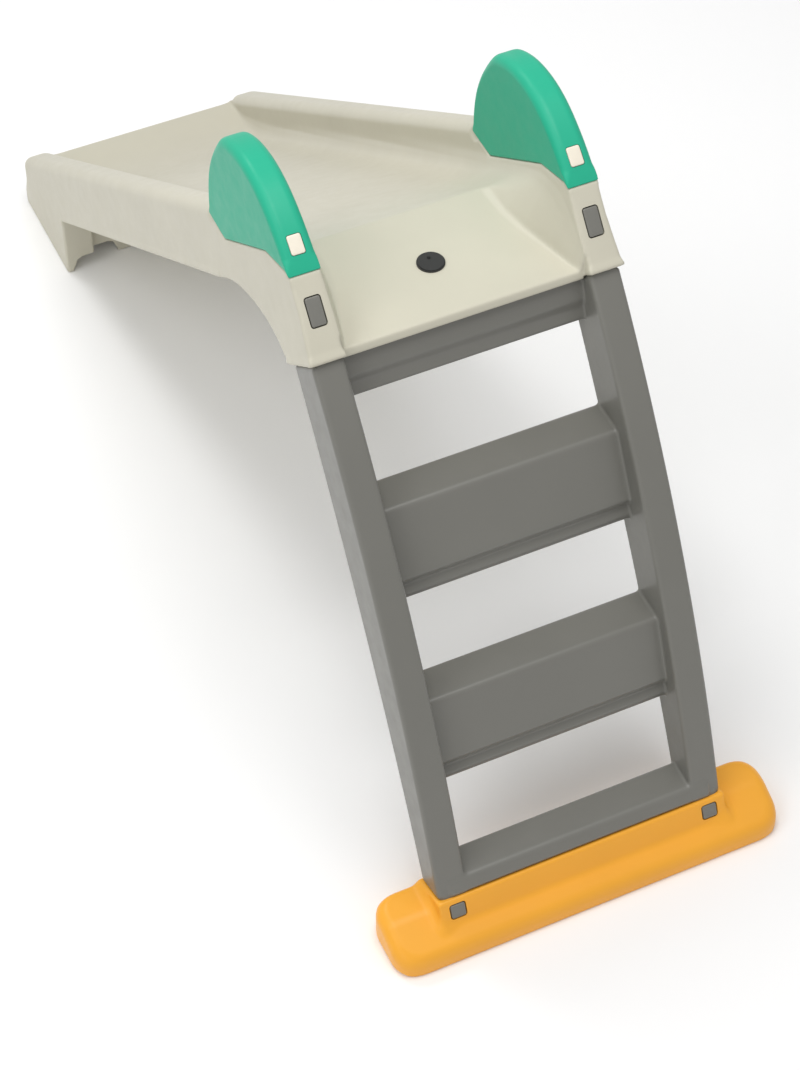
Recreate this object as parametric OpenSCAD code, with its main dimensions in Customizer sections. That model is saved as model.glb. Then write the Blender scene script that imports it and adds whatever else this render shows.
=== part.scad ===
// Toddler slide: a moulded chute with a platform, two plug-on handles, a step ladder and a foot.
// The mouldings plug into each other and sprung lock tabs hold them. A water nozzle sits in the
// platform. +X is the sliding direction, +Y the rider's left and +Z up. The origin is on the
// ground, under the middle of the slide's length and width. All sizes are in millimetres.
// Side views are drawn as [x, z], with x counted from the ladder's lower back corner.

/* [Chute] */
// Width over the side walls
chute_w = 320; // [312:2:330]
// Thickness of a side wall beside the platform
wall_t = 32; // [31:0.5:34]
// Thickness of a side wall at the exit
exit_wall_t = 38; // [34:1:42]
// Width of the flat floor, from the fold down to the exit
floor_w = 188; // [170:2:200]
// Height of the curve between the floor and a side wall
side_rise = 19; // [16:1:20]
// Height of the arches under the exit
arch_h = 21; // [12:1:26]

/* [Ladder] */
// Thickness of a rail across the slide
rail_t = 29.5; // [28:0.5:30]
// Distance from a side wall's outer face in to the rail
rail_inset = 2.5; // [2:0.25:3]

/* [Foot] */
// Width of the foot
foot_w = 440; // [400:4:460]
// How far the foot's socket reaches past the rails on each side
plinth_rim = 8; // [5:1:10]

/* [Plug joints] */
// Wall of a handle, a sleeve's sides and the foot's socket
skin_t = 3.5; // [3:0.25:4]
// Play all round a plug in its socket
play = 0.4; // [0.3:0.05:0.5]
// Depth of a sleeve's socket for the ladder
sleeve_depth = 69; // [67:1:72]
// Length of the ladder's plug in the foot
foot_plug_h = 36; // [32:1:38]

/* [Lock tabs] */
// Gap round a tab in its window
tab_gap = 0.8; // [0.5:0.1:1]
// How far a tab stands proud
tab_proud = 0.8; // [0:0.1:1.5]
// Width of a tab's hidden flange outside the window
flange_rim = 2; // [1.5:0.25:2.25]

/* [Water nozzle] */
// Radius of the nozzle's threaded stem
stem_r = 8; // [7:0.5:9]
// Radius of the spigot that takes the hose
hose_r = 6.35; // [6:0.05:6.5]

/* [Hidden] */
$fn = 64;
slice_t = 0.4;
reach_up = 260;

// Colours
beige = [0.80, 0.78, 0.70];
green = [0.25, 0.69, 0.55];
grey = [0.45, 0.45, 0.42];
orange = [0.95, 0.66, 0.27];
cream = [0.94, 0.91, 0.84];
charcoal = [0.18, 0.18, 0.18];

// Main stations of the side view
foot_back_x = -37;
exit_x = 1219;
mid_x = (foot_back_x + exit_x) / 2;
platform_z = 556;
edge_x = 296;
fold = [448, 551];
half_w = chute_w / 2;
inner_half = half_w - wall_t;

// Side wall: sleeve, handle seam, rim, exit and lower edge
sleeve_dir = [0.638, 0.770];
sleeve_in = [0.770, -0.638];
sleeve_back = [283, 561];
sleeve_front = sleeve_back + 79.4 * sleeve_in;
seam = [[336, 625], [346, 627], [393, 613], [499, 539], [539, 540]];
rim_back = [540.2, 548.8];
nose = [[1206, 76], [1216, 70], [1219, 60], [1219, 0]];
heel = [[1070, 0], [1070, 87]];
belly_back = [520, 470];
belly_r = 193.4;
belly_c = [391.7, 323.1];
rim_r = 12;
rim_start = 6;
edge_rise = 4;
fold_rise = 5;

// Chute floor, as [x, z, rise of the curve to the side walls]: straight to the run-out, then
// flattening in steps towards the lip
floor_stations = [[448, 551, 4], [499, 515.3, side_rise], [1085, 105, side_rise],
                  [1125, 82, side_rise], [1165, 69, side_rise], [1240, 63, side_rise]];

// Handle's tangent arcs from back to front: [centre, radius, from angle, to angle]
handle_arcs = [[[470, 517], 172.5, 141, 118], [[441.6, 570.4], 112, 118, 61.3],
               [[477.1, 635.3], 38, 61.3, 33.6], [[353.8, 553.5], 186, 33.6, -4.2]];

// Ladder: two bowed edges, a joint plane at the foot and the plug in the sleeve
ladder_back_c = [1642, -542];
ladder_back_r = 1745;
ladder_front_c = [2793, -1310];
ladder_front_r = 3066.6;
joint_back = [0, 59];
joint_front = [41, 45];
upper_step = [211, 414];
upper_lean = 38;
lower_step = [104, 244];
lower_lean = 30;
tread_d = 43;
step_h = 90;
top_bar = [[307, 545], [290, 521], [294, 513], [286, 498], [322, 498], [334, 516], [334, 545]];
bottom_bar = [[0, 59], [8, 75], [45, 76], [48, 66], [41, 45]];

// Foot: loaf with rounded plan corners, and the raised socket that the ladder stands in
foot_front_x = 45;
foot_top_z = 40;
foot_round = 28;
foot_edge = 13;
plinth = [[-1.5, 59.1], [-13.5, 31.5], [-13.5, 10], [44, 10], [44, 43.6]];

// Plugs: rail in the sleeve, rail in the foot, and the fin of the side wall in a handle
rail_back_off = 6.1;
rail_front_off = 70.6;
sleeve_slope = 8;
plug_root = 12;
joint_dir = [0.946, -0.323];
joint_down = [-0.323, -0.946];
foot_plug_in = 129;
foot_plug_span = [2.5, 37];
foot_plug_root = 5;
fin_root = [[528, 530], [499, 528], [393, 600], [350, 612]];
fin_cavity_root = [[533.5, 500], [340, 500]];

// Lock tabs: [width, height, face skin, travel], place on the face, direction it faces
handle_tab = [14, 19, skin_t, 6];
sleeve_tab = [15, 28, rail_back_off - play, 7.5];
foot_tab = [16, 15.5, skin_t, 6];
handle_face = [131.5, [355.7, 646.2]];
sleeve_face = [140.3, [313.5, 597.8]];
foot_face = [156.8, [-7.4, 45.7]];
tab_y = 144;
foot_tab_y = 143.75;
plug_skin = 3;
flange_t = 2.5;
slack = 0.5;

// Nozzle: head in a shallow recess, stem through the platform, nut and hose cap below
nozzle_x = 369;
nozzle_recess = 4;
recess_r = 17;
seat_z = 530;
seat_r = 24;
head_r = 14;
head_t = 3;
seal_t = 1.5;
stem_l = 43;
passage_r = 4;
jet_r = 1.8;
jet_tilt = 35;
nut_r = 15;
nut_h = 9;
nut_flange = [4, 2.5];
cap_r = 12;
cap_h = 14;
cap_grip = 10;
spigot_l = 24;
spigot_taper = [1.2, 2];
thread_gap = 0.05;

// Platform's lip over the ladder, the bay under it, and the flare round the bottom of a sleeve
lip_t = 10;
bay_x = 338;
bay_z = 480;
flare = 2;
lip_h = 1;
lip_top = 3;

// Arch between two ground ribs, as [y, z] about the arch's middle
arch_mid = [40, 120];
arch_run = 115;
arch_side = [[34, -1], [31, 4], [26, arch_h - 4], [20, arch_h]];

// Puts a shape drawn in the side view's x into the slide's frame
module place() {
    translate([-mid_x, 0, 0])
        children();
}

// Extrudes a side view across the slide, from y0 to y1
module across(y0, y1) {
    translate([0, y1, 0])
        rotate([90, 0, 0])
            linear_extrude(y1 - y0)
                children();
}

module both_sides() {
    children();
    mirror([0, 1, 0])
        children();
}

// Points of an arc about c, from one angle to another
function arc(c, r, from, to, n = 12) =
    [for (i = [0:n]) c + r * [cos(from + (to - from) * i / n), sin(from + (to - from) * i / n)]];

function angle_of(p, c) = atan2(p.y - c.y, p.x - c.x);

// Rounded rectangle, made of exact squares and circles
module soft_rect(w, h, r = 2) {
    square([w - 2 * r, h], center = true);
    square([w, h - 2 * r], center = true);
    for (sx = [-1, 1], sy = [-1, 1])
        translate([sx * (w / 2 - r), sy * (h / 2 - r)])
            circle(r, $fn = 24);
}

// Handle outline above the seam, shrunk by inset
function fin_arcs(inset) = [for (a = handle_arcs, p = arc(a[0], a[1] - inset, a[2], a[3])) p];

// Seam on the chute's side, a little below and in front of the handle
function seam_gap() = concat([for (i = [0:3]) seam[i] - [0, play]], [[rim_back.x, seam[4].y - play]]);

function reverse(points) = [for (i = [len(points) - 1:-1:0]) points[i]];

// A block on a tilted face: depth from n0 to n1 along the outward normal
module on_face(face, y, n0, n1, w, h) {
    translate([face[1].x, y, face[1].y])
        rotate([0, -face[0], 0])
            translate([n0, 0, 0])
                rotate([90, 0, 90])
                    linear_extrude(n1 - n0)
                        soft_rect(w, h);
}

// Opening for a tab through the outer skin
module tab_window(face, y, tab) {
    on_face(face, y, -tab[2] - 3, 6, tab[0] + 2 * tab_gap, tab[1] + 2 * tab_gap);
}

// Pocket for a tab in the plug behind the skin
module tab_pocket(face, y, tab) {
    surface_n = -tab[2] - play;
    shelf_n = surface_n - plug_skin;
    floor_n = shelf_n - flange_t - tab[3] - 1.5;
    grow = 2 * (flange_rim + slack);
    on_face(face, y, shelf_n - 1, surface_n + 3, tab[0] + 2 * tab_gap, tab[1] + 2 * tab_gap);
    on_face(face, y, floor_n, shelf_n, tab[0] + grow, tab[1] + grow);
}

module lock_tab(face, y, tab) {
    flange_n = -tab[2] - play - plug_skin - 0.1;
    on_face(face, y, flange_n, tab_proud, tab[0], tab[1]);
    on_face(face, y, flange_n - flange_t, flange_n, tab[0] + 2 * flange_rim, tab[1] + 2 * flange_rim);
}

// One cross-section of the space above the floor, as a thin slice at x. The sides rise
// from the floor in a quarter ellipse
module channel_slice(x, z, floor_half, top_half, rise) {
    side = [for (a = [0:15:90]) [floor_half + (top_half - floor_half) * sin(a), rise * (1 - cos(a))]];
    translate([x, 0, z])
        rotate([90, 0, 90])
            linear_extrude(slice_t)
                polygon(concat(side, [[top_half, reach_up], [-top_half, reach_up]],
                               [for (p = reverse(side)) [-p.x, p.y]]));
}

function blend(a, b, t) = a + (b - a) * t;

function rim_inner(x) = blend(inner_half, half_w - exit_wall_t, (x - fold.x) / (exit_x - fold.x));

// Space that the rider uses: over the platform and down the chute
module ride_space() {
    hull() {
        channel_slice(edge_x - 40, platform_z, inner_half - 1, inner_half, edge_rise);
        channel_slice(fold.x, fold.y, floor_w / 2, inner_half, fold_rise);
    }
    for (i = [0:len(floor_stations) - 2])
        hull()
            for (p = [floor_stations[i], floor_stations[i + 1]])
                channel_slice(p.x, p.y, floor_w / 2, rim_inner(p.x) - 0.5, p[2]);
}

// Full outline of the side wall below the handles
module wall_outline() {
    belly = arc(belly_c, belly_r, angle_of(belly_back, belly_c), angle_of(sleeve_front, belly_c));
    polygon(concat([sleeve_back], seam_gap(), [rim_back], nose, heel, belly, [sleeve_front]));
}

// Rounds the long outer and inner edges of the rim
module rim_cutters() {
    rim_cutter([rim_back.x, half_w, rim_back.y], [nose[0].x, half_w, nose[0].y], 1);
    rim_cutter([rim_back.x, rim_inner(rim_back.x), rim_back.y],
               [nose[0].x, rim_inner(nose[0].x), nose[0].y], -1);
}

// Cuts the edge from one point to another to a radius; side is 1 outside and -1 inside
module rim_cutter(from, to, side) {
    run = to - from;
    translate(from)
        rotate([0, 0, atan2(run.y, run.x)])
            rotate([0, atan2(-run.z, norm([run.x, run.y])), 0])
                rotate([0, 90, 0])
                    translate([0, 0, -rim_start])
                        linear_extrude(norm(run) + 40)
                            difference() {
                                translate([-rim_start, side > 0 ? -rim_r : -rim_start])
                                    square(rim_r + rim_start);
                                translate([rim_r, -side * rim_r])
                                    circle(rim_r);
                            }
}

// Outline of the rail's plug, or of its socket when grown by the play
function sleeve_plug_outline(grow, below, depth) =
    [sleeve_back + (rail_back_off - grow) * sleeve_in - below * sleeve_dir,
     sleeve_back + (rail_back_off - grow) * sleeve_in + depth * sleeve_dir,
     sleeve_back + (rail_front_off + grow) * sleeve_in + (depth - sleeve_slope) * sleeve_dir,
     sleeve_back + (rail_front_off + grow) * sleeve_in - below * sleeve_dir];

module sleeve_socket() {
    across(half_w - wall_t + skin_t, half_w - skin_t)
        polygon(sleeve_plug_outline(play, 6, sleeve_depth));
}

// Flared rim round the bottom of a sleeve
module sleeve_lip() {
    difference() {
        sleeve_lip_outline();
        sleeve_socket();
    }
}

module sleeve_lip_outline() {
    across(inner_half - flare, half_w + flare)
        polygon([sleeve_back - flare * sleeve_in - lip_h * sleeve_dir,
                 sleeve_back - flare * sleeve_in + lip_top * sleeve_dir,
                 sleeve_front + flare * sleeve_in + lip_top * sleeve_dir,
                 sleeve_front + flare * sleeve_in - lip_h * sleeve_dir]);
}

// Fin of the side wall that fills a handle
module handle_plug() {
    across(inner_half + skin_t + play, half_w - skin_t - play)
        polygon(concat(fin_arcs(skin_t + play), fin_root));
}

// Arches between the ground ribs under the exit
module exit_arches() {
    for (side = [-1, 1], y = arch_mid)
        translate([heel[0].x - 5, side * y, 0])
            rotate([90, 0, 90])
                linear_extrude(arch_run)
                    polygon(concat(arch_side, [for (p = reverse(arch_side)) [-p.x, p.y]]));
}

module chute() {
    color(beige)
        place() {
            difference() {
                union() {
                    difference() {
                        across(-half_w, half_w)
                            wall_outline();
                        both_sides()
                            rim_cutters();
                    }
                    both_sides()
                        handle_plug();
                }
                ride_space();
                ladder_bay();
                exit_arches();
                nozzle_hole();
                both_sides() {
                    sleeve_socket();
                    tab_window(sleeve_face, tab_y, sleeve_tab);
                    tab_pocket(handle_face, tab_y, handle_tab);
                }
            }
            both_sides()
                sleeve_lip();
        }
}

// Room between the sleeves for the ladder's top bar, under the platform's lip
module ladder_bay() {
    across(-inner_half, inner_half)
        polygon([[edge_x - 100, bay_z], [edge_x - 100, platform_z + 100], [edge_x, platform_z + 100],
                 [edge_x, platform_z - lip_t], [bay_x, platform_z - lip_t], [bay_x, bay_z]]);
}

module nozzle_hole() {
    translate([nozzle_x, 0, 0]) {
        translate([0, 0, seat_z - 5])
            cylinder(r = stem_r + 0.3, h = 60);
        translate([0, 0, platform_z - nozzle_recess])
            cylinder(r = recess_r, h = 20);
        translate([0, 0, seat_z - 60])
            cylinder(r = seat_r, h = 60);
    }
}

module handle_shell() {
    difference() {
        across(inner_half, half_w)
            polygon(concat(fin_arcs(0), reverse(seam)));
        across(inner_half + skin_t, half_w - skin_t)
            polygon(concat(fin_arcs(skin_t), fin_cavity_root));
        tab_window(handle_face, tab_y, handle_tab);
    }
}

module left_handle() {
    color(green)
        place()
            handle_shell();
}

module right_handle() {
    color(green)
        place()
            mirror([0, 1, 0])
                handle_shell();
}

// Rail between its two bowed edges, from the joint plane to the sleeve
module rail_outline() {
    top_back = sleeve_back + rail_back_off * sleeve_in - (lip_h + play) * sleeve_dir;
    top_front = sleeve_back + rail_front_off * sleeve_in - (lip_h + play) * sleeve_dir;
    polygon(concat(arc(ladder_back_c, ladder_back_r,
                       angle_of(joint_back, ladder_back_c), angle_of(top_back, ladder_back_c), 24),
                   arc(ladder_front_c, ladder_front_r,
                       angle_of(top_front, ladder_front_c), angle_of(joint_front, ladder_front_c), 24)));
}

// Step from its tread's back edge: leaning riser, a groove and a strip below it
module step_outline(tread, lean) {
    points = [[0, 0], [tread_d, 0], [tread_d - 4, -16], [33 - lean, -step_h - 2], [-lean, -step_h],
              [-lean - 1, -step_h + 8], [7 - lean, -step_h + 17], [-lean, -step_h + 27]];
    polygon([for (p = points) tread + p]);
}

// Plug on top of a rail, inside the sleeve
module sleeve_plug() {
    across(inner_half + skin_t + play, half_w - skin_t - play)
        polygon(sleeve_plug_outline(0, plug_root, sleeve_depth - 1));
}

// Plug under a rail, inside the foot
module foot_plug_outline(grow) {
    back = joint_back + (foot_plug_span[0] - grow) * joint_dir;
    front = joint_back + (foot_plug_span[1] + grow) * joint_dir;
    polygon([back - (foot_plug_root - grow) * joint_down, back + (foot_plug_h + grow) * joint_down,
             front + (foot_plug_h + grow) * joint_down, front - (foot_plug_root - grow) * joint_down]);
}

// Bar under the platform's lip: full width below the sleeves, narrower between them
module top_bar_solid(reach) {
    under = lip_h + play;
    across(-inner_half + flare + play, inner_half - flare - play)
        polygon(top_bar);
    across(-reach, reach)
        intersection() {
            polygon(top_bar);
            polygon([sleeve_back - under * sleeve_dir, sleeve_back - 90 * sleeve_dir,
                     sleeve_front - 90 * sleeve_dir, sleeve_front - under * sleeve_dir]);
        }
}

module ladder() {
    rail_out = half_w - rail_inset;
    color(grey)
        place()
            difference() {
                union() {
                    both_sides() {
                        across(rail_out - rail_t, rail_out)
                            rail_outline();
                        sleeve_plug();
                        across(foot_plug_in, rail_out)
                            foot_plug_outline(0);
                    }
                    across(-rail_out + 10, rail_out - 10) {
                        step_outline(upper_step, upper_lean);
                        step_outline(lower_step, lower_lean);
                        polygon(bottom_bar);
                    }
                    top_bar_solid(rail_out - 10);
                }
                both_sides() {
                    tab_pocket(sleeve_face, tab_y, sleeve_tab);
                    tab_pocket(foot_face, foot_tab_y, foot_tab);
                }
            }
}

// Loaf-shaped foot: a hull of rounded discs, low at the back and high at the front
module foot_body() {
    hull()
        for (side = [-1, 1], p = [[foot_back_x + foot_round, 8], [foot_front_x - foot_round, 8],
                                  [foot_front_x - foot_round, foot_top_z - foot_edge]])
            translate([p.x, side * (foot_w / 2 - foot_round), p.y])
                rotate_extrude($fn = 32)
                    intersection() {
                        translate([foot_round - foot_edge, 0])
                            circle(foot_edge, $fn = 24);
                        translate([0, -foot_edge])
                            square([foot_round, 2 * foot_edge]);
                    }
}

module foot() {
    socket_half = half_w - rail_inset + plinth_rim;
    color(orange)
        place()
            difference() {
                union() {
                    foot_body();
                    across(-socket_half, socket_half)
                        polygon(plinth);
                }
                translate([-100, -foot_w, -50])
                    cube([200, 2 * foot_w, 50]);
                both_sides() {
                    across(foot_plug_in - play, half_w - rail_inset + play)
                        foot_plug_outline(play);
                    tab_window(foot_face, foot_tab_y, foot_tab);
                }
            }
}

module left_handle_tab() {
    color(cream)
        place()
            lock_tab(handle_face, tab_y, handle_tab);
}

module right_handle_tab() {
    color(cream)
        place()
            lock_tab(handle_face, -tab_y, handle_tab);
}

module left_sleeve_tab() {
    color(grey)
        place()
            lock_tab(sleeve_face, tab_y, sleeve_tab);
}

module right_sleeve_tab() {
    color(grey)
        place()
            lock_tab(sleeve_face, -tab_y, sleeve_tab);
}

module left_foot_tab() {
    color(grey)
        place()
            lock_tab(foot_face, foot_tab_y, foot_tab);
}

module right_foot_tab() {
    color(grey)
        place()
            lock_tab(foot_face, -foot_tab_y, foot_tab);
}

module at_nozzle(z) {
    place()
        translate([nozzle_x, 0, z])
            children();
}

// Domed head with a tilted jet hole, and a hollow threaded stem
module spray_nozzle() {
    head_z = platform_z - nozzle_recess + seal_t;
    color(charcoal)
        at_nozzle(head_z)
            difference() {
                union() {
                    cylinder(r = head_r - 1, h = head_t);
                    cylinder(r = head_r, h = head_t - 1);
                    translate([0, 0, -stem_l])
                        cylinder(r = stem_r, h = stem_l);
                }
                translate([0, 0, -stem_l - 1])
                    cylinder(r = passage_r, h = stem_l - 1);
                translate([0, 0, -4])
                    rotate([0, jet_tilt, 0])
                        cylinder(r = jet_r, h = 20);
            }
}

module nozzle_seal() {
    color(charcoal)
        at_nozzle(platform_z - nozzle_recess)
            difference() {
                cylinder(r = head_r, h = seal_t);
                translate([0, 0, -1])
                    cylinder(r = stem_r + 0.2, h = seal_t + 2);
            }
}

// Flanged hexagon nut under the platform
module nozzle_nut() {
    color(charcoal)
        at_nozzle(seat_z)
            difference() {
                union() {
                    translate([0, 0, -nut_flange[1]])
                        cylinder(r = nut_r + nut_flange[0], h = nut_flange[1]);
                    translate([0, 0, -nut_h])
                        cylinder(r = nut_r, h = nut_h, $fn = 6);
                }
                translate([0, 0, -nut_h - 1])
                    cylinder(r = stem_r + thread_gap, h = nut_h + 2);
            }
}

// Cap on the end of the stem, with a spigot for the hose
module hose_adapter() {
    color(charcoal)
        at_nozzle(seat_z - nut_h - cap_h)
            difference() {
                union() {
                    cylinder(r = cap_r, h = cap_h - 1);
                    translate([0, 0, spigot_taper[1] - spigot_l])
                        cylinder(r = hose_r, h = spigot_l);
                    translate([0, 0, -spigot_l])
                        cylinder(r1 = hose_r - spigot_taper[0], r2 = hose_r, h = spigot_taper[1]);
                }
                translate([0, 0, cap_h - cap_grip - 1])
                    cylinder(r = stem_r + thread_gap, h = cap_grip + 2);
                translate([0, 0, -spigot_l - 1])
                    cylinder(r = passage_r, h = spigot_l + cap_h);
            }
}

chute();
left_handle();
right_handle();
ladder();
foot();
left_handle_tab();
right_handle_tab();
left_sleeve_tab();
right_sleeve_tab();
left_foot_tab();
right_foot_tab();
spray_nozzle();
nozzle_seal();
nozzle_nut();
hose_adapter();
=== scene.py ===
import math

import bmesh
import bpy
import numpy as np
import openvdb as vdb
from mathutils import Matrix, Vector


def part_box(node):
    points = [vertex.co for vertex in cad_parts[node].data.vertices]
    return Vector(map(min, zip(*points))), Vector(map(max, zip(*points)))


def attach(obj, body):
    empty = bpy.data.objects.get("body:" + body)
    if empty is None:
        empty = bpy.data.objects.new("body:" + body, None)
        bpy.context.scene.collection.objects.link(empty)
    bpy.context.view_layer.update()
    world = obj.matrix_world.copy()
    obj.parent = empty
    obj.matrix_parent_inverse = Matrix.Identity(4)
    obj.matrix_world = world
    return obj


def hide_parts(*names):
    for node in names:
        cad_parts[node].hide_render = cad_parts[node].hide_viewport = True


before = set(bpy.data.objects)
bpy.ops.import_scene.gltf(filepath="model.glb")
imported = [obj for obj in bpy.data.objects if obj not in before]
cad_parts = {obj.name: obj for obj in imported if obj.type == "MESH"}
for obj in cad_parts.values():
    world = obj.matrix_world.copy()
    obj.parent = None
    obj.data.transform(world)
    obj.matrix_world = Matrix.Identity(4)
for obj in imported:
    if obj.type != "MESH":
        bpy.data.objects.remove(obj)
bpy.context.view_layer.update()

# Side views are drawn in millimetres as (x, z), with x counted from the ladder's lower back corner.
# SHIFT_X takes that x into the row frame, and comes from the CAD foot's own place.
FOOT_LO, FOOT_HI = (v * 1000 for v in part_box("foot"))
CHUTE_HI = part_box("chute")[1] * 1000
LADDER_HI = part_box("ladder")[1] * 1000
FOOT_BACK_X, FOOT_FRONT_X = -37.0, 45.0
SHIFT_X = FOOT_LO.x - FOOT_BACK_X
EXIT_X = CHUTE_HI.x - SHIFT_X

# Across the slide, y counts from its middle. The CAD chute's box reaches CAD_FLARE past its walls.
# The sleeves widen outwards by WIDEN towards their lips, and each lip stands out by LIP_FLARE.
CAD_FLARE, LIP_FLARE, WIDEN = 2.0, 0.8, 3.5
HALF_W = CHUTE_HI.y - CAD_FLARE
INNER = HALF_W - 32.0
RAIL_OUT = LADDER_HI.y + 3.5
RAIL_IN = RAIL_OUT - 33.0

# The platform runs from EDGE_X to the fold. From there the floor falls FALL per millimetre to its end.
PLATFORM_Z = 556.0
EDGE_X = 296.0
FOLD = (448.0, 551.0)
FALL = 0.7002
FLOOR_END = [(1085, 105), (1125, 82), (1165, 69), (1240, 63), (1320, 59)]

# Past FLAT_Y the chute's sides curve up. The next three are (x, value): where the platform's side facet
# starts in y, how steeply it rises, and how wide the flatter strip along its foot is.
FLAT_Y, SIDE_REACH, SIDE_RISE = 92.0, 37.0, 22.0
CREASE = [(280, 127), (296, 122), (310, 117), (335, 109.5), (376, 98), (406, 92), (448, 90.5), (500, 90)]
FACET_RISE = [(296, 2.5), (310, 3.0), (335, 3.2), (376, 2.1), (406, 1.4), (448, 0.7)]
STRIP_WIDTH = [(296, 1.0), (330, 3.0), (448, 8.0)]

# Walls, sleeves and handles. The sleeve's axes run up along the ladder and in from its back face.
SLEEVE_DIR = np.array([0.638, 0.770])
SLEEVE_IN = np.array([0.770, -0.638])
SLEEVE_BACK = np.array([283.0, 561.0])
SLEEVE_FRONT = SLEEVE_BACK + 79.4 * SLEEVE_IN
RIM_BACK, RIM_END = np.array([540.2, 548.8]), np.array([1204.0, 81.0])
RIM_RUN = (RIM_END - RIM_BACK) / np.linalg.norm(RIM_END - RIM_BACK)
SEAM = [(336, 625), (346, 627), (393, 613), (499, 539), (539, 540)]
HANDLE_ARCS = [((470, 517), 172.5, 141, 118), ((441.6, 570.4), 112, 118, 61.3),
               ((477.1, 635.3), 38, 61.3, 33.6), ((353.8, 553.5), 186, 33.6, -4.2)]
BELLY_C, BELLY_R, BELLY_END = (391.7, 323.1), 193.6, (520, 470)
LOWER_EDGE_RUN = (0.8206, -0.5715)
LEG_BACK_X = 1070

# The ladder's two long curves, as (centre, radius), and the line where it meets the foot
LADDER_BACK = ((1642, -542), 1745)
LADDER_FRONT = ((2793, -1310), 3066.6)
JOINT_BACK, JOINT_FRONT = (0, 59), (41, 45)
JOINT_DOWN, JOINT_IN = np.array([-0.323, -0.946]), np.array([0.946, -0.323])

# Voxel sizes in millimetres, and the most triangles that a moulding keeps before its windows are cut
VOXEL, HANDLE_VOXEL, FOOT_VOXEL = 2.0, 1.25, 1.5
MOST_FACES = 190000


# ---------------------------------------------------------------- outlines

def arc(c, r, a0, a1, n=16):
    return [(c[0] + r * math.cos(math.radians(a0 + (a1 - a0) * i / n)),
             c[1] + r * math.sin(math.radians(a0 + (a1 - a0) * i / n))) for i in range(n + 1)]


def along(points, x):
    """The value at x of a line through (x, value) points."""
    return np.interp(x, [p[0] for p in points], [p[1] for p in points])


def angle_of(p, c):
    return math.degrees(math.atan2(p[1] - c[1], p[0] - c[0]))


def soften(points, radii, n=6):
    """Rounds each corner of a closed outline. radii is one number, or one for each corner."""
    p = [np.array(q, float) for q in points]
    if not hasattr(radii, "__len__"):
        radii = [radii] * len(p)
    out = []
    for i, r in enumerate(radii):
        a, b, c = p[i - 1], p[i], p[(i + 1) % len(p)]
        u, v = a - b, c - b
        lu, lv = np.linalg.norm(u), np.linalg.norm(v)
        u, v = u / lu, v / lv
        half = math.acos(max(-1.0, min(1.0, float(u @ v)))) / 2
        if r <= 0 or half > math.radians(88):
            out.append(tuple(b))
            continue
        t = min(r / math.tan(half), 0.48 * lu, 0.48 * lv)
        r = t * math.tan(half)
        centre = b + (u + v) / np.linalg.norm(u + v) * (r / math.sin(half))
        s, e = b + u * t - centre, b + v * t - centre
        a0 = math.atan2(s[1], s[0])
        sweep = (math.atan2(e[1], e[0]) - a0 + math.pi) % (2 * math.pi) - math.pi
        turn = [a0 + sweep * k / n for k in range(n + 1)]
        out += [(centre[0] + r * math.cos(a), centre[1] + r * math.sin(a)) for a in turn]
    return out


# ---------------------------------------------------------------- distance fields

def outline_distance(points, u, v):
    """Signed distance to a closed outline, on the grid of a column u and a row v. Negative is inside."""
    p = np.array(points, np.float32)
    u, v = u[:, None], v[None, :]
    d = np.full((u.shape[0], v.shape[1]), 1e12, np.float32)
    sign = np.ones_like(d)
    for a, b in zip(p, np.roll(p, 1, axis=0)):
        e = b - a
        if float(e @ e) < 1e-9:
            continue
        wu, wv = u - a[0], v - a[1]
        t = np.clip((wu * e[0] + wv * e[1]) / float(e @ e), 0, 1)
        d = np.minimum(d, (wu - e[0] * t) ** 2 + (wv - e[1] * t) ** 2)
        above, below = v >= a[1], v < b[1]
        left = e[0] * wv > e[1] * wu
        sign = np.where((above & below & left) | (~above & ~below & ~left), -sign, sign)
    return sign * np.sqrt(d)


def round_both(a, b, r):
    """The part inside both a and b, with the edge between them rounded to r."""
    u, v = np.maximum(a + r, 0), np.maximum(b + r, 0)
    return np.minimum(np.maximum(a, b), -r) + np.sqrt(u * u + v * v)


def round_either(a, b, r):
    """a and b together, with the corner between them filled to r."""
    u, v = np.maximum(r - a, 0), np.maximum(r - b, 0)
    return np.maximum(np.minimum(a, b), r) - np.sqrt(u * u + v * v)


def smooth_min(a, b, k):
    """The smaller of a and b, blended where they are within k of each other."""
    h = np.clip(0.5 + 0.5 * (b - a) / k, 0, 1)
    return b + (a - b) * h - k * h * (1 - h)


def step(x, lo, hi):
    """0 below lo, 1 above hi, smooth between."""
    t = np.clip((x - lo) / (hi - lo), 0, 1)
    return t * t * (3 - 2 * t)


class Grid:
    """A block of voxels of size h. With mirrored, y starts at 0 and stands for both sides."""

    def __init__(self, lo, hi, h, mirrored=True):
        self.h, self.mirrored = h, mirrored
        self.lo = [lo[0] - 3 * h, 0.0 if mirrored else lo[1] - 3 * h, lo[2] - 3 * h]
        self.x, self.y, self.z = (np.arange(self.lo[i], hi[i] + 3 * h, h, dtype=np.float32)
                                  for i in range(3))
        self.X, self.Y, self.Z = self.x[:, None, None], self.y[None, :, None], self.z[None, None, :]

    def side(self, points):
        """Distance to a side view, spread across y."""
        return outline_distance(points, self.x, self.z)[:, None, :]

    def plan(self, points):
        """Distance to a top view, spread up z."""
        return outline_distance(points, self.x, self.y)[:, :, None]

    def prism(self, side, y0, y1, r):
        """A side view between y0 and y1, with its edges rounded to r."""
        return round_both(side, np.abs(self.Y - (y0 + y1) / 2) - (y1 - y0) / 2, r)


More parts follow.
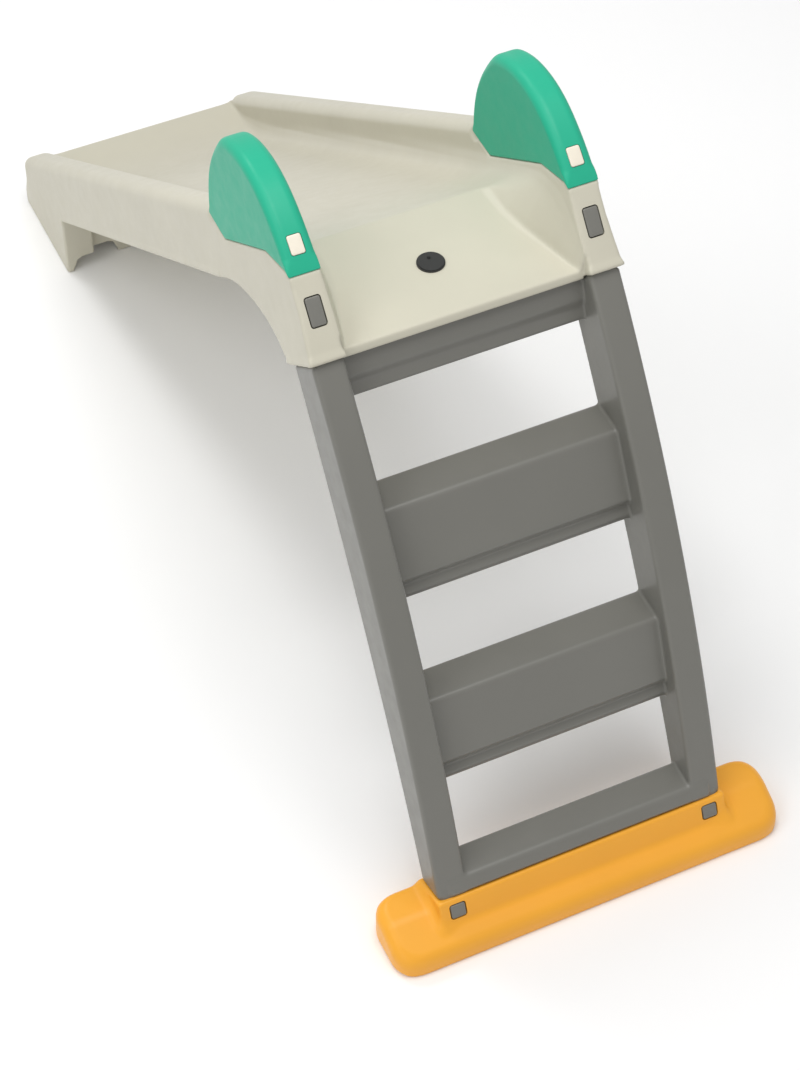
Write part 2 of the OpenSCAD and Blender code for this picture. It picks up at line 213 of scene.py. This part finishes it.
def mesh_from(grid, d):
    """(points in millimetres, triangles, quads) of the surface where d is 0."""
    h = grid.h
    if grid.mirrored:
        d = np.concatenate([d[:, :0:-1, :], d], axis=1)
        start = -(len(grid.y) - 1)
    else:
        start = 0
    band = 3 * h
    field = vdb.FloatGrid(band)
    field.copyFromArray(np.ascontiguousarray(np.clip(d, -band, band), np.float32), ijk=(0, start, 0))
    # A level just off 0, because a flat face that falls exactly on a row of voxels gives faces with no area
    points, tris, quads = field.convertToPolygons(isovalue=0.013, adaptivity=0.0)
    points = points * h + np.array([grid.lo[0], 0.0 if grid.mirrored else grid.lo[1], grid.lo[2]])
    return points, tris, quads


def make_object(name, points, tris, quads, mirror=False):
    """An object in the row frame from points in side-view millimetres."""
    co = np.array(points, np.float64)
    co[:, 0] += SHIFT_X
    if mirror:
        co[:, 1] *= -1
    tris, quads = np.asarray(tris, np.int64).reshape(-1, 3), np.asarray(quads, np.int64).reshape(-1, 4)
    a, b, c = co[tris[:, 0]], co[tris[:, 1]], co[tris[:, 2]]
    volume = np.einsum("ij,ij->", a, np.cross(b, c)) if len(tris) else 0.0
    if len(quads):
        a, b, c, e = (co[quads[:, i]] for i in range(4))
        volume += np.einsum("ij,ij->", a, np.cross(b, c)) + np.einsum("ij,ij->", a, np.cross(c, e))
    if volume < 0:
        tris, quads = tris[:, ::-1], quads[:, ::-1]
    me = bpy.data.meshes.new(name)
    me.vertices.add(len(co))
    me.vertices.foreach_set("co", (co / 1000).astype(np.float32).ravel())
    loops = np.concatenate([tris.ravel(), quads.ravel()]).astype(np.int32)
    me.loops.add(len(loops))
    me.loops.foreach_set("vertex_index", loops)
    starts = np.concatenate([np.arange(len(tris)) * 3, len(tris) * 3 + np.arange(len(quads)) * 4])
    me.polygons.add(len(starts))
    me.polygons.foreach_set("loop_start", starts.astype(np.int32))
    me.update(calc_edges=True)
    me.validate()
    ob = bpy.data.objects.new(name, me)
    bpy.context.scene.collection.objects.link(ob)
    return ob


def modify(ob, kind, **settings):
    """Adds a modifier and applies it."""
    m = ob.modifiers.new(kind, kind)
    for key, value in settings.items():
        setattr(m, key, value)
    bpy.context.view_layer.update()
    made = bpy.data.meshes.new_from_object(ob.evaluated_get(bpy.context.evaluated_depsgraph_get()))
    ob.modifiers.clear()
    old, ob.data = ob.data, made
    made.name = ob.name
    bpy.data.meshes.remove(old)


def slim(ob, faces):
    """Thins a mesh to about this many triangles."""
    have = sum(len(p.vertices) - 2 for p in ob.data.polygons)
    if have > faces:
        modify(ob, "DECIMATE", ratio=faces / have)


def shade(ob):
    ob.data.shade_smooth()
    ob.data.set_sharp_from_angle(angle=math.radians(38))


def sample(g, d, p):
    """Values of the field at points in side-view millimetres."""
    y = np.abs(p[:, 1]) if g.mirrored else p[:, 1]
    q = [(p[:, 0] - g.lo[0]) / g.h, (y - g.lo[1]) / g.h, (p[:, 2] - g.lo[2]) / g.h]
    i = [np.clip(np.floor(v).astype(np.int64), 0, n - 2) for v, n in zip(q, d.shape)]
    f = [v - w for v, w in zip(q, i)]
    out = 0
    for a in (0, 1):
        for b in (0, 1):
            for c in (0, 1):
                out = out + (d[i[0] + a, i[1] + b, i[2] + c] * (f[0] if a else 1 - f[0])
                             * (f[1] if b else 1 - f[1]) * (f[2] if c else 1 - f[2]))
    return out


def field_normals(ob, g, d, mirror=False):
    """Shades a mesh with the field's own normals, except where a cut face differs from the field."""
    shade(ob)
    me = ob.data
    co = np.empty(len(me.vertices) * 3)
    me.vertices.foreach_get("co", co)
    p = co.reshape(-1, 3) * 1000
    p[:, 0] -= SHIFT_X
    flip = -1.0 if mirror else 1.0
    p[:, 1] *= flip
    normals = np.empty_like(p)
    reach, on_surface, least_cos = 0.8 * g.h, 0.6 * g.h, 0.5
    for axis in range(3):
        e = np.zeros(3)
        e[axis] = reach
        normals[:, axis] = sample(g, d, p + e) - sample(g, d, p - e)
    normals[:, 1] *= flip
    normals /= np.maximum(np.linalg.norm(normals, axis=1, keepdims=True), 1e-9)
    off = np.abs(sample(g, d, p)) > on_surface
    loops = np.empty(len(me.loops), np.int64)
    me.loops.foreach_get("vertex_index", loops)
    face = np.empty(len(me.polygons) * 3)
    me.polygons.foreach_get("normal", face)
    count = np.empty(len(me.polygons), np.int64)
    me.polygons.foreach_get("loop_total", count)
    per_loop = np.repeat(face.reshape(-1, 3), count, axis=0)
    chosen = normals[loops]
    bad = (np.einsum("ij,ij->i", chosen, per_loop) < least_cos) | off[loops]
    chosen[bad] = 0
    me.normals_split_custom_set(chosen)


def drop_folds(ob):
    """Removes triangles that lie back to back on the same corners, which a cut can leave behind."""
    bm = bmesh.new()
    bm.from_mesh(ob.data)
    bmesh.ops.triangulate(bm, faces=bm.faces[:])
    seen = {}
    for f in bm.faces:
        seen.setdefault(tuple(sorted(v.index for v in f.verts)), []).append(f)
    folds = [f for group in seen.values() if len(group) > 1 for f in group]
    bmesh.ops.delete(bm, geom=folds, context="FACES")
    bm.to_mesh(ob.data)
    bm.free()


def cut(ob, cutters):
    """Subtracts the cutters from a mesh and deletes them."""
    for c in cutters:
        modify(ob, "BOOLEAN", operation="DIFFERENCE", solver="MANIFOLD", object=c)
        bpy.data.objects.remove(c)
    drop_folds(ob)


# ---------------------------------------------------------------- lofted pieces

def rounded_rect(w, h, r, n=6):
    out = []
    for cx, cy, a0 in ((w / 2 - r, h / 2 - r, 0), (r - w / 2, h / 2 - r, 90),
                       (r - w / 2, r - h / 2, 180), (w / 2 - r, r - h / 2, 270)):
        out += arc((cx, cy), r, a0, a0 + 90, n)
    return out


def loft(rings):
    """Points and faces of a closed solid through rings of equal length, with fans at both ends."""
    n = len(rings[0])
    points = [p for ring in rings for p in ring]
    quads = [(k * n + i, k * n + (i + 1) % n, (k + 1) * n + (i + 1) % n, (k + 1) * n + i)
             for k in range(len(rings) - 1) for i in range(n)]
    tris = []
    for ring, base, flip in ((rings[0], 0, True), (rings[-1], (len(rings) - 1) * n, False)):
        centre = len(points)
        points.append(tuple(np.mean(np.array(ring), axis=0)))
        for i in range(n):
            t = (base + i, base + (i + 1) % n, centre)
            tris.append(t[::-1] if flip else t)
    return points, tris, quads


# Each lock tab's face: the tilt of its normal in degrees, its middle in the side view, its distance
# from the slide's middle, and its width and height. Then the gap round it, its window's depth and the
# radius of its corners.
FACES = {"handle": (131.5, (355.7, 646.2)), "sleeve": (140.3, (313.5, 597.8)), "foot": (156.8, (-7.4, 45.7))}
TAB_Y = {"handle": 144.0, "sleeve": 144.0, "foot": 143.75}
TABS = {"handle": (14.0, 19.0), "sleeve": (15.0, 28.0), "foot": (16.0, 15.5)}
TAB_GAP = {"handle": 0.55, "sleeve": 1.1, "foot": 1.1}
WINDOW_DEPTH = {"handle": 22.0, "sleeve": 24.0, "foot": 20.0}
TAB_CORNER = 2.2


def on_face(kind, side, ring, n):
    """A ring of (across, up) points on a tilted face, n millimetres out along its normal."""
    tilt, (x, z) = FACES[kind]
    t = math.radians(tilt)
    normal, up = (math.cos(t), math.sin(t)), (-math.sin(t), math.cos(t))
    if up[1] < 0:
        up = (-up[0], -up[1])
    return [(x + n * normal[0] + v * up[0], side * TAB_Y[kind] + u, z + n * normal[1] + v * up[1])
            for u, v in ring]


def window_cutter(kind, side):
    w, h = TABS[kind]
    gap = TAB_GAP[kind]
    ring = rounded_rect(w + 2 * gap, h + 2 * gap, TAB_CORNER + gap)
    ends = [on_face(kind, side, ring, n) for n in (-WINDOW_DEPTH[kind], 9.0)]
    return make_object("cutter", *loft(ends))


def lock_tab(kind, side):
    """A tab with rounded corners, a soft top edge and a slightly domed face."""
    w, h = TABS[kind]
    proud, edge, root = 0.8, 1.3, -11.0
    rings = [on_face(kind, side, rounded_rect(w, h, TAB_CORNER), root)]
    for i in range(7):
        a = math.radians(15 * i)
        inset = edge * (1 - math.cos(a))
        ring = rounded_rect(w - 2 * inset, h - 2 * inset, TAB_CORNER - 0.9 * inset)
        rings.append(on_face(kind, side, ring, proud - edge + edge * math.sin(a)))
    for share, rise in ((0.7, 0.18), (0.35, 0.28)):
        ring = rounded_rect(share * (w - 2 * edge), share * (h - 2 * edge), share)
        rings.append(on_face(kind, side, ring, proud + rise))
    return loft(rings)


# ---------------------------------------------------------------- chute

def floor_height(g):
    """Height of the floor over plan, as an array over x and y."""
    x, y = g.x[:, None], g.y[None, :]
    level = PLATFORM_Z - (x - EDGE_X) * (PLATFORM_Z - FOLD[1]) / (FOLD[0] - EDGE_X)

    # The sliding floor, with its lower bends smoothed
    fine = np.arange(200.0, 1320.0, 2.0)
    slope = along([(200, FOLD[1] + FALL * (FOLD[0] - 200)), FOLD] + FLOOR_END, fine)
    kernel = np.hanning(33) / np.hanning(33).sum()
    slope = np.where(fine > 900, np.convolve(slope, kernel, mode="same"), slope)
    slope[fine > 1280] = 60.0
    slope = np.interp(x, fine, slope)

    # Its sides curve up to the walls, less so at the exit
    out = (y - FLAT_Y) / SIDE_REACH
    bowl = slope + SIDE_RISE * (1 - np.sqrt(1 - np.clip(out, 0, 0.98) ** 2))
    bowl = bowl - 12 * step(x, 1090, 1215) * np.clip(out, 0, 1) ** 2

    # They run out over the platform as a facet that narrows towards the ladder
    past = np.minimum(y, INNER + 1) - along(CREASE, x)
    strip = along(STRIP_WIDTH, x)
    facet = level + 0.42 * np.minimum(past, strip) + along(FACET_RISE, x) * np.maximum(past - strip, 0)
    raised = -smooth_min(-facet, -level + 0 * y, 0.8)
    return smooth_min(raised, bowl, 2.2 + 8.0 * step(y, 96, 112))


def wall_outline():
    """Side view of a wall with its sleeve, from the sleeve's back lip over the rim and back by the belly."""
    belly = arc(BELLY_C, BELLY_R, angle_of(BELLY_END, BELLY_C), angle_of(SLEEVE_FRONT, BELLY_C), 24)
    seam = [(x, z - 0.5) for x, z in SEAM]
    lip_in, lip_top, lip_out = -1.0, 3.0, 9.0
    back = [SLEEVE_BACK - LIP_FLARE * SLEEVE_IN + lip_in * SLEEVE_DIR,
            SLEEVE_BACK - LIP_FLARE * SLEEVE_IN + lip_top * SLEEVE_DIR,
            SLEEVE_BACK + lip_out * SLEEVE_DIR]
    front = [SLEEVE_FRONT + lip_out * SLEEVE_DIR,
             SLEEVE_FRONT + LIP_FLARE * SLEEVE_IN + lip_top * SLEEVE_DIR,
             SLEEVE_FRONT + LIP_FLARE * SLEEVE_IN + lip_in * SLEEVE_DIR]
    rim = [RIM_BACK, RIM_END, (EXIT_X - 1, 70), (EXIT_X, 0), (LEG_BACK_X, 0), (LEG_BACK_X, 87)]
    radii = [0.8, 1, 4] + [1, 1, 6, 6, 1] + [3, 9, 8, 1.5, 2, 4] + [0] * len(belly) + [4, 1, 0.8]
    return soften(back + seam + rim + belly + front, radii)


def build_wall(g, side, y_in):
    """A side wall, with edges rounded widely at the rim, less at the sleeve and least below."""
    from_rim = np.abs((g.X - RIM_BACK[0]) * RIM_RUN[1] - (g.Z - RIM_BACK[1]) * RIM_RUN[0])
    from_seam = np.abs(g.Z - along(SEAM, g.X))
    sleeve_up = (g.X - SLEEVE_BACK[0]) * SLEEVE_DIR[0] + (g.Z - SLEEVE_BACK[1]) * SLEEVE_DIR[1]
    sleeve_in = (g.X - SLEEVE_BACK[0]) * SLEEVE_IN[0] + (g.Z - SLEEVE_BACK[1]) * SLEEVE_IN[1]
    near_sleeve = (g.X < 346) & (g.Z > 490)
    from_lip = step(sleeve_up, 2, 9)
    low_r, sleeve_extra, rim_r, lip_r, seam_share = 2.5, 1.3, 12.0, 1.0, 0.75
    r = low_r + sleeve_extra * (1 - step(g.X, 400, 470)) * step(g.Z, 500, 530)
    r = r * (1 - (1 - step(from_seam, 1, 9)) * (g.X > 330) * seam_share)
    r = r + (rim_r - r) * step(g.X, 522, 536) * (1 - step(from_rim, 24, 44))
    r = np.where(near_sleeve, r - (r - lip_r) * (1 - from_lip), r)

    # The lip's flare, the bead along the lower edge and the widening sleeve all move the faces out
    flare = np.where(near_sleeve, LIP_FLARE * (1 - from_lip), 0)
    from_edge = np.abs((g.X - BELLY_END[0]) * LOWER_EDGE_RUN[1] - (g.Z - BELLY_END[1]) * LOWER_EDGE_RUN[0])
    bead = 0.9 * (1 - step(from_edge, 4, 8)) * (g.X > BELLY_END[0]) * (g.X < LEG_BACK_X + 5)
    mid, half = (y_in + HALF_W) / 2, (HALF_W - y_in) / 2
    widen = WIDEN * (1 - np.clip(sleeve_up / 50, 0, 1)) * (1 - step(sleeve_in, 60, 130)) * (g.Y > mid)
    return round_both(side, np.abs(g.Y - mid) - half - flare - widen - bead, r)


def slab_outline():
    """Side view of the platform, floor and ground block, open above."""
    high = 760
    under = arc(BELLY_C, BELLY_R + 6, angle_of((523.4, 474.9), BELLY_C), 101, 20)[::-1]
    back = [(EDGE_X, high), (EDGE_X, PLATFORM_Z), (EDGE_X - 3, 546), (338, 546), (344, 512)]
    block = [(1082, 86), (1082, 0), (EXIT_X, 0), (EXIT_X, high)]
    return soften(back + under + block, [0, 0, 1.5, 4, 4] + [0] * len(under) + [6, 2, 1.5, 0])


def arch_outline(y0):
    """End view of one arch between the ground ribs."""
    return soften([(y0 - 10, -8), (y0 - 7, 4), (y0 - 2, 17), (y0 + 4, 21), (y0 + 44, 21),
                   (y0 + 50, 17), (y0 + 55, 4), (y0 + 58, -8)], 3)


def build_chute(h):
    g = Grid((276, 0, 0), (EXIT_X, HALF_W + CAD_FLARE, 632), h)
    side = g.side(wall_outline())
    # The walls' inner faces close in a little towards the exit
    y_in = INNER - 6.0 * np.clip((g.X - FOLD[0]) / (EXIT_X - FOLD[0]), 0, 1)
    wall = build_wall(g, side, y_in)
    slab = g.side(slab_outline())
    top = floor_height(g)
    gx, gy = np.gradient(top, g.h)
    above = (g.Z - top[:, :, None]) / np.sqrt(1 + gx * gx + gy * gy)[:, :, None]
    lip_r = np.where(g.X < 700, 1.8, 7.0)
    body = np.maximum(round_both(above, slab, lip_r), g.Y - HALF_W + 6)
    body = np.maximum(body, np.where(g.Y > y_in - 1, side + 1.0, -1000.0))
    # The corner between the floor and the walls is filled, only above the floor and inside both outlines
    r = 7 + 5 * step(g.X, 470, 520) - 9 * step(g.X, 1120, 1200)
    fill = round_both(round_either(above, y_in - g.Y, r), slab, lip_r)
    fill = np.maximum(np.maximum(fill, above - r - 1), np.maximum(side + 0.5, g.Y - y_in - 1))
    d = np.minimum(np.minimum(body, wall), fill)
    for y0 in (16, 96):
        arch = outline_distance(arch_outline(y0), g.y, g.z)[None, :, :]
        d = np.maximum(d, -np.maximum(arch, g.X - 1180))
    return make_object("chute_moulding", *mesh_from(g, d)), g, d


# ---------------------------------------------------------------- handles

def build_handle(name, mirror, h):
    g = Grid((330, INNER - 1, 530), (546, HALF_W + 1, 690), h, mirrored=False)
    fin = [p for c, r, a0, a1 in HANDLE_ARCS for p in arc(c, r, a0, a1, 20)]
    outline = fin + [SEAM[4], SEAM[3], SEAM[2], SEAM[1], SEAM[0]]
    side = g.side(soften(outline, [0] * (len(fin) - 1) + [1.5] + [1.5, 5, 6, 1, 1]))
    # Sharp at the seam, rounder above it and widest at the crown
    seam_r, wall_r = 1.0, 4.0 + 5.5 * step(g.Z, 590, 668)
    r = seam_r + (wall_r - seam_r) * step(g.Z - along(SEAM, g.X), 2, 12)
    d = g.prism(side, INNER - 0.5, HALF_W + 0.5, r)
    return make_object(name, *mesh_from(g, d), mirror=mirror), g, d


# ---------------------------------------------------------------- ladder

def step_outline(x, z, lean):
    """Leaning riser under a tread, with a groove and a strip at its lower edge."""
    p = [(0, 0), (43, 0), (39, -16), (33 - lean, -92), (-lean, -90), (-lean - 1, -82), (5 - lean, -74),
         (1.5 - lean, -64)]
    return soften([(x + a, z + b) for a, b in p], [6, 4, 5, 4, 2.5, 3, 3, 4])


def build_ladder(h):
    g = Grid((-4, 0, 10), (385, RAIL_OUT, 640), h)
    below_lip = 1.4
    top_back = SLEEVE_BACK + 6.1 * SLEEVE_IN - below_lip * SLEEVE_DIR
    top_front = SLEEVE_BACK + 70.6 * SLEEVE_IN - below_lip * SLEEVE_DIR
    back_c, front_c = LADDER_BACK[0], LADDER_FRONT[0]
    back = arc(*LADDER_BACK, angle_of(JOINT_BACK, back_c), angle_of(top_back, back_c), 40)
    front = arc(*LADDER_FRONT, angle_of(top_front, front_c), angle_of(JOINT_FRONT, front_c), 40)
    d = g.prism(g.side(back + front), RAIL_IN, RAIL_OUT, 4.5)

    # Plugs up into the sleeves and down into the foot
    plug = g.side([top_back - 12 * SLEEVE_DIR, top_back + 20 * SLEEVE_DIR,
                   top_front + 20 * SLEEVE_DIR, top_front - 12 * SLEEVE_DIR])
    d = np.minimum(d, g.prism(plug, RAIL_IN + 4, RAIL_OUT - 5.5, 1))
    toe_back, toe_front = JOINT_BACK + 3 * JOINT_IN, JOINT_BACK + 37 * JOINT_IN
    toe = g.side([toe_back - 6 * JOINT_DOWN, toe_back + 30 * JOINT_DOWN,
                  toe_front + 30 * JOINT_DOWN, toe_front - 6 * JOINT_DOWN])
    d = np.minimum(d, g.prism(toe, RAIL_IN + 1.5, RAIL_OUT - 5, 1))

    # Two steps, the bottom bar and the top bar
    between = RAIL_OUT - 13.5
    bottom_bar = soften([(0, 60), (8, 75), (45, 76), (48, 66), (41, 46)], [3, 7, 4, 3, 1])
    for outline in (step_outline(211, 414, 38), step_outline(104, 244, 30), bottom_bar):
        d = smooth_min(d, g.prism(g.side(outline), -between, between, 2), 3.0)
    top_bar = g.side(soften([(299, 545), (291, 523), (291.5, 513), (286, 498), (322, 498), (334, 516),
                             (334, 545)], [2, 6, 5, 3, 5, 3, 2]))
    sleeve_up = (g.X - SLEEVE_BACK[0]) * SLEEVE_DIR[0] + (g.Z - SLEEVE_BACK[1]) * SLEEVE_DIR[1]
    under_sleeve = round_both(g.prism(top_bar, -between, between, 1.0), sleeve_up + below_lip, 1.0)
    bar = np.minimum(g.prism(top_bar, -(INNER - 2.4), INNER - 2.4, 1.0), under_sleeve)
    d = smooth_min(d, bar, 2.0)
    return make_object("ladder_moulding", *mesh_from(g, d)), g, d


# ---------------------------------------------------------------- foot

def build_foot(h):
    """A loaf with a raised socket. Its outline starts wider, because the rounding takes the sides in."""
    g = Grid((FOOT_BACK_X, 0, 0), (FOOT_FRONT_X, FOOT_HI.y, 60), h)
    half = FOOT_HI.y
    back, front = FOOT_BACK_X - 3.0, FOOT_FRONT_X + 3.8
    loaf = g.side(soften([(back, -6), (back, 21), (8, 41), (front, 43.5), (front, -6)],
                         [8, 17, 30, 12, 8], 10))
    plan = g.plan(soften([(back, -40), (front, -40), (front, half), (back, half)], [0, 0, 30, 30], 12))
    d = round_both(loaf, plan, 13.0)
    socket = g.side(soften([(-1.5, 58.9), (-13.5, 31.5), (-13.5, 10), (44, 10), (44, 43.4)], [3, 3, 1, 1, 3]))
    ends = step(g.Y, 140, 168)
    d = round_either(d, g.prism(socket, -163.5, 163.5, 3.0), 2.5 + 8.0 * ends)
    d = round_both(d, 0.0 - g.Z, 2.0)
    return make_object("foot_moulding", *mesh_from(g, d)), g, d


# ---------------------------------------------------------------- materials

def plastic(name, color, rough, mottle=0.025, grain=0.03, shine=0.3):
    """Moulded plastic: faint cloudy mottling, fine orange-peel grain and soft handling marks."""
    m = bpy.data.materials.new(name)
    m.use_nodes = True
    nt = m.node_tree
    nt.nodes.clear()
    node = nt.nodes.new
    out, bsdf = node("ShaderNodeOutputMaterial"), node("ShaderNodeBsdfPrincipled")
    coord = node("ShaderNodeTexCoord")
    link = nt.links.new
    link(bsdf.outputs["BSDF"], out.inputs["Surface"])

    def noise(scale, detail, roughness=0.55):
        n = node("ShaderNodeTexNoise")
        n.inputs["Scale"].default_value = scale
        n.inputs["Detail"].default_value = detail
        n.inputs["Roughness"].default_value = roughness
        link(coord.outputs["Object"], n.inputs["Vector"])
        return n

    def ramp(src, lo, hi, a, b):
        r = node("ShaderNodeMapRange")
        for key, value in (("From Min", lo), ("From Max", hi), ("To Min", a), ("To Max", b)):
            r.inputs[key].default_value = value
        link(src, r.inputs["Value"])
        return r

    cloud, marks, peel, fine = noise(9, 4), noise(55, 5, 0.65), noise(260, 2), noise(700, 1)
    mix = node("ShaderNodeMix")
    mix.data_type = "RGBA"
    mix.inputs["A"].default_value = [c * (1 - mottle) for c in color] + [1]
    mix.inputs["B"].default_value = [min(1, c * (1 + mottle)) for c in color] + [1]
    link(ramp(cloud.outputs["Fac"], 0.3, 0.7, 0, 1).outputs["Result"], mix.inputs["Factor"])
    link(mix.outputs["Result"], bsdf.inputs["Base Color"])
    worn = ramp(marks.outputs["Fac"], 0.35, 0.7, rough - 0.04, rough + 0.06)
    link(worn.outputs["Result"], bsdf.inputs["Roughness"])
    add = node("ShaderNodeMath")
    add.operation = "MULTIPLY_ADD"
    add.inputs[1].default_value = 0.4
    link(fine.outputs["Fac"], add.inputs[0])
    link(peel.outputs["Fac"], add.inputs[2])
    bump = node("ShaderNodeBump")
    bump.inputs["Strength"].default_value = grain
    bump.inputs["Distance"].default_value = 0.0004
    link(add.outputs["Value"], bump.inputs["Height"])
    link(bump.outputs["Normal"], bsdf.inputs["Normal"])
    bsdf.inputs["IOR"].default_value = 1.5
    bsdf.inputs["Specular IOR Level"].default_value = shine
    return m


def srgb(*levels):
    """Linear colour from three levels of 255."""
    shares = [v / 255 for v in levels]
    return [v / 12.92 if v <= 0.04045 else ((v + 0.055) / 1.055) ** 2.4 for v in shares]


LOOKS = {
    "beige_plastic": plastic("beige", srgb(199, 195, 178), 0.40),
    "green_plastic": plastic("green", srgb(42, 171, 137), 0.40, shine=0.22),
    "grey_plastic": plastic("grey", srgb(118, 117, 111), 0.32, shine=0.45),
    "orange_plastic": plastic("orange", srgb(244, 172, 56), 0.34),
    "cream_plastic": plastic("cream", srgb(234, 226, 209), 0.42),
    "dark_plastic": plastic("dark", srgb(52, 52, 51), 0.42, grain=0.1),
    "black_rubber": plastic("rubber", srgb(28, 28, 28), 0.7, grain=0.2),
}


def dress(ob, slot_name, body, *nodes):
    """Gives a piece its material and the body it rides on, and hides the CAD nodes it stands for."""
    ob.data.materials.clear()
    ob.data.materials.append(LOOKS[slot_name])
    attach(ob, body)
    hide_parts(*nodes)


# ---------------------------------------------------------------- assembly

def finish_moulding(made, slot_name, node, windows=None, mirror=False):
    """Thins a moulding, cuts its windows, shades and dresses it. windows is (kind, sides)."""
    ob, g, d = made
    slim(ob, MOST_FACES)
    if windows:
        kind, sides = windows
        cut(ob, [window_cutter(kind, s) for s in sides])
    field_normals(ob, g, d, mirror)
    dress(ob, slot_name, "slide", node)


finish_moulding(build_chute(VOXEL), "beige_plastic", "chute", ("sleeve", (1, -1)))
for label, s in (("left", 1), ("right", -1)):
    finish_moulding(build_handle(label + "_handle_shell", s < 0, HANDLE_VOXEL), "green_plastic",
                    label + "_handle", ("handle", (s,)), mirror=s < 0)
    for kind, slot_name in (("handle", "cream_plastic"), ("sleeve", "grey_plastic"),
                            ("foot", "grey_plastic")):
        tab = make_object(f"{label}_{kind}_lock", *lock_tab(kind, s))
        dress(tab, slot_name, f"{label}_{kind}_tab", f"{label}_{kind}_tab")
        shade(tab)
finish_moulding(build_ladder(VOXEL), "grey_plastic", "ladder")
finish_moulding(build_foot(FOOT_VOXEL), "orange_plastic", "foot", ("foot", (1, -1)))

# The water fittings keep the CAD's own shapes
for name, slot_name in (("spray_nozzle", "dark_plastic"), ("nozzle_seal", "black_rubber"),
                        ("nozzle_nut", "dark_plastic"), ("hose_adapter", "dark_plastic")):
    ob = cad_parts[name]
    ob.data.materials.clear()
    ob.data.materials.append(LOOKS[slot_name])


# ---------------------------------------------------------------- studio

def backdrop():
    """A pale floor that curves up into a wall far behind the slide."""
    size, back, r = 9.0, 4.5, 1.5
    profile = [(-size, 0.0), (back - r, 0.0)]
    profile += arc((back - r, r), r, -84, 0, 14)
    profile.append((back, 8.0))
    points = [(x, y, z) for x, z in profile for y in (-size, size)]
    faces = [(2 * i, 2 * i + 2, 2 * i + 3, 2 * i + 1) for i in range(len(profile) - 1)]
    me = bpy.data.meshes.new("backdrop")
    me.from_pydata(points, [], faces)
    me.shade_smooth()
    ob = bpy.data.objects.new("backdrop", me)
    bpy.context.scene.collection.objects.link(ob)
    m = bpy.data.materials.new("paper")
    m.use_nodes = True
    b = m.node_tree.nodes["Principled BSDF"]
    b.inputs["Base Color"].default_value = (0.97, 0.97, 0.97, 1)
    b.inputs["Roughness"].default_value = 0.9
    me.materials.append(m)


def softbox(name, place, target, size, power):
    """An area light. size is (width, height) in metres and power is in watts."""
    light = bpy.data.lights.new(name, "AREA")
    light.shape, light.size, light.size_y = "RECTANGLE", size[0], size[1]
    light.energy = power
    ob = bpy.data.objects.new(name, light)
    ob.location = place
    ob.rotation_euler = (Vector(target) - Vector(place)).to_track_quat("-Z", "Y").to_euler()
    bpy.context.scene.collection.objects.link(ob)


backdrop()
softbox("top", (-0.4, 0.1, 3.1), (-0.1, 0, 0.4), (1.5, 1.5), 36)
softbox("beyond", (1.7, 0.7, 2.9), (-0.18, -0.1, 0.55), (0.7, 0.7), 17)
softbox("side", (-2.3, 2.3, 1.6), (-0.3, -0.1, 0.5), (0.7, 1.8), 5)
softbox("high", (-0.5, 2.2, 3.1), (-0.1, 0, 0.3), (1.6, 1.6), 21)
world = bpy.data.worlds.new("studio")
world.use_nodes = True
world.node_tree.nodes["Background"].inputs["Color"].default_value = (1, 1, 1, 1)
world.node_tree.nodes["Background"].inputs["Strength"].default_value = 0.54
bpy.context.scene.world = world
bpy.context.scene.view_settings.view_transform = "Standard"

camera_data = bpy.data.cameras.new("camera")
camera_data.lens, camera_data.sensor_width, camera_data.sensor_fit = 93.43, 36.0, "AUTO"
camera_data.clip_end = 100
camera = bpy.data.objects.new("camera", camera_data)
forward, right = Vector((0.5950, -0.2780, -0.7541)), Vector((-0.4233, -0.9060, 0))
down = Vector((-0.6832, 0.3192, -0.6568))
turn = Matrix((right, -down, -forward)).transposed()
camera.matrix_world = Matrix.Translation((-1.9717, 0.8501, 2.3901)) @ turn.to_4x4()
bpy.context.scene.collection.objects.link(camera)
bpy.context.scene.camera = camera
